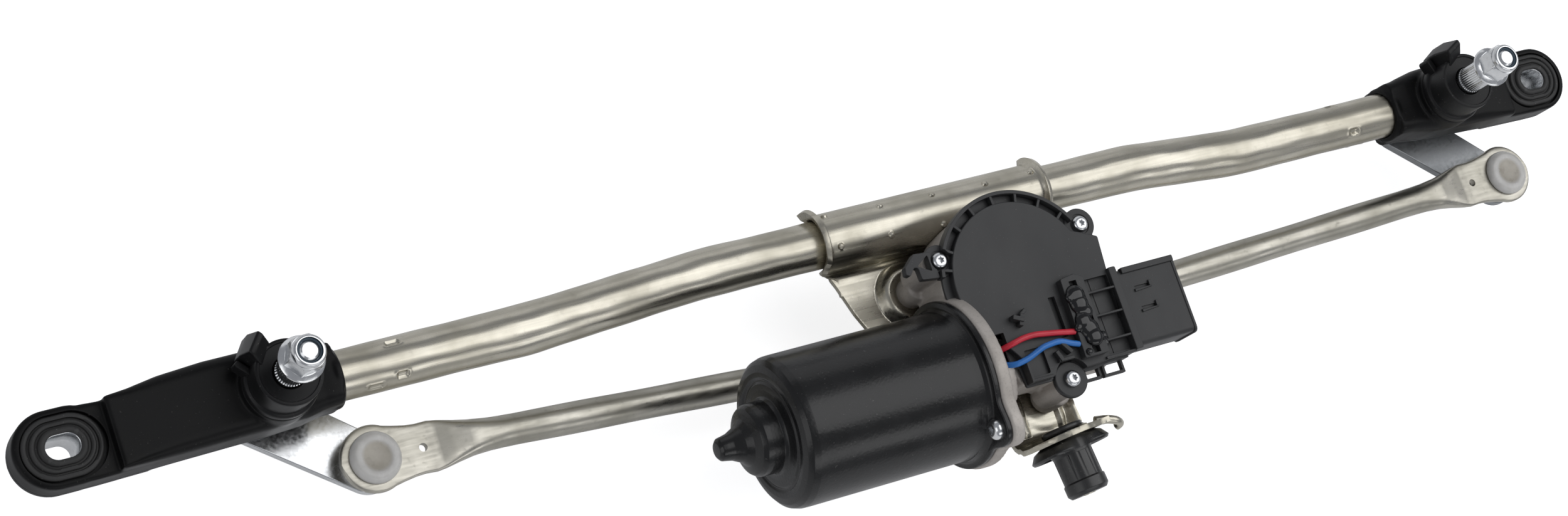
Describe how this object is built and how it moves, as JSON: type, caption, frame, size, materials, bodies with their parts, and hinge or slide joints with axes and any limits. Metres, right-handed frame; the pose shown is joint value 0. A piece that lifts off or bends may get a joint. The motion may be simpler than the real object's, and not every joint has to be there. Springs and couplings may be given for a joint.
{
  "type": "windshield wiper assembly",
  "caption": "Tubular wiper linkage frame with end pivot housings, a geared electric motor under a bracket, a crank, link rods with ball sockets, levers and threaded wiper-arm shafts",
  "frame": {"origin": "axis of the motor's output shaft, at the height of the frame tube's axis", "axes": "+X along the frame tube from the left pivot to the right pivot, +Y from the output shaft towards the tube, +Z along the pivot shafts towards the wiper arms"},
  "size_m": [0.74, 0.1458, 0.1215],
  "materials": {
    "zinc_steel": "satin zinc-nickel plated sheet and tube",
    "bright_zinc": "bright zinc plated",
    "link_steel": "dull zinc plated",
    "hidden_steel": "machined",
    "housing_black": "satin black coated casting",
    "can_black": "satin black e-coat",
    "cover_plastic": "fine matte moulding",
    "cap_plastic": "satin moulding",
    "cast_alloy": "as cast",
    "nylon": "translucent natural nylon",
    "gear_plastic": "acetal",
    "rubber": "moulded rubber",
    "bronze": "sintered bronze",
    "copper": "copper",
    "ferrite": "ferrite magnet",
    "phenolic": "phenolic board",
    "sealant": "glossy potting sealant",
    "red_insulation": "wire insulation",
    "blue_insulation": "wire insulation"
  },
  "bodies": {
    "frame": {"frame_tube": "zinc_steel", "bracket_plate": "zinc_steel", "left_housing": "housing_black", "right_housing": "housing_black", "left_bush": "bronze", "right_bush": "bronze", "left_pivot_cap": "cap_plastic", "right_pivot_cap": "cap_plastic", "left_grommet": "rubber", "right_grommet": "rubber", "left_mount_sleeve": "bright_zinc", "right_mount_sleeve": "bright_zinc", "isolator_rubber": "rubber", "isolator_insert": "zinc_steel", "thrust_washers": "hidden_steel", "gear_housing": "cast_alloy", "output_bush": "bronze", "cover_gasket": "rubber", "gear_cover": "cover_plastic", "cover_screws": "bright_zinc", "contact_fingers": "copper", "mounting_screws": "bright_zinc", "potting_sealant": "sealant", "connector_terminals": "copper", "red_wire": "red_insulation", "blue_wire": "blue_insulation", "motor_can": "can_black", "can_screws": "bright_zinc", "magnets": "ferrite", "can_bush": "bronze", "worm_bush": "bronze", "end_stop": "nylon", "brush_card": "phenolic", "brushes": "ferrite", "brush_springs": "hidden_steel"},
    "left_arm": {"left_pivot_shaft": "bright_zinc", "left_shaft_nut": "bright_zinc", "left_lever": "bright_zinc", "left_ball_stud": "hidden_steel"},
    "right_arm": {"right_pivot_shaft": "bright_zinc", "right_shaft_nut": "bright_zinc", "right_lever": "bright_zinc", "right_ball_stud": "hidden_steel"},
    "left_rod": {"left_link": "link_steel", "left_link_cap": "nylon", "left_crank_socket": "nylon", "left_crank_ball": "hidden_steel"},
    "right_rod": {"right_link": "link_steel", "right_link_cap": "nylon", "right_crank_socket": "nylon", "right_crank_ball": "hidden_steel"},
    "crank": {"output_shaft": "hidden_steel", "crank_arm": "bright_zinc", "crank_nut": "bright_zinc", "crank_pin": "hidden_steel", "worm_wheel": "gear_plastic", "contact_disc": "copper"},
    "armature": {"armature_shaft": "hidden_steel", "armature_core": "hidden_steel", "armature_windings": "copper"}
  },
  "joints": [
    {"name": "motor_spin", "type": "hinge", "parent": "frame", "child": "armature", "pos_m": [0, -0.0329, 0.012], "axis": [1, 0, 0], "range_deg": [0, 10800]},
    {"name": "crank_turn", "type": "hinge", "parent": "frame", "child": "crank", "pos_m": [0, 0, 0], "axis": [0, 0, 1], "range_deg": [-0.2, 180.2]},
    {"name": "left_wiper", "type": "hinge", "parent": "frame", "child": "left_arm", "pos_m": [-0.3085, 0.0349, 0], "axis": [0, 0, 1], "range_deg": [-88.87, 0.2]},
    {"name": "right_wiper", "type": "hinge", "parent": "frame", "child": "right_arm", "pos_m": [0.256, 0.0349, 0], "axis": [0, 0, 1], "range_deg": [-78.33, 0.2]},
    {"name": "left_link_pivot", "type": "hinge", "parent": "left_arm", "child": "left_rod", "pos_m": [-0.27061, 0.00389, -0.02], "axis": [0, 0, 1], "range_deg": [-0.2, 93.12]},
    {"name": "right_link_pivot", "type": "hinge", "parent": "right_arm", "child": "right_rod", "pos_m": [0.29679, -0.00222, -0.02], "axis": [0, 0, 1], "range_deg": [-0.2, 72.78]}
  ],
  "couplings": [
    {"joint": "crank_turn", "follows": "motor_spin", "ratio": 0.016667},
    {"joint": "left_wiper", "follows": "motor_spin", "ratio": -0.0082105},
    {"joint": "right_wiper", "follows": "motor_spin", "ratio": -0.0072345},
    {"joint": "left_link_pivot", "follows": "motor_spin", "ratio": 0.0086037},
    {"joint": "right_link_pivot", "follows": "motor_spin", "ratio": 0.0067207}
  ]
}
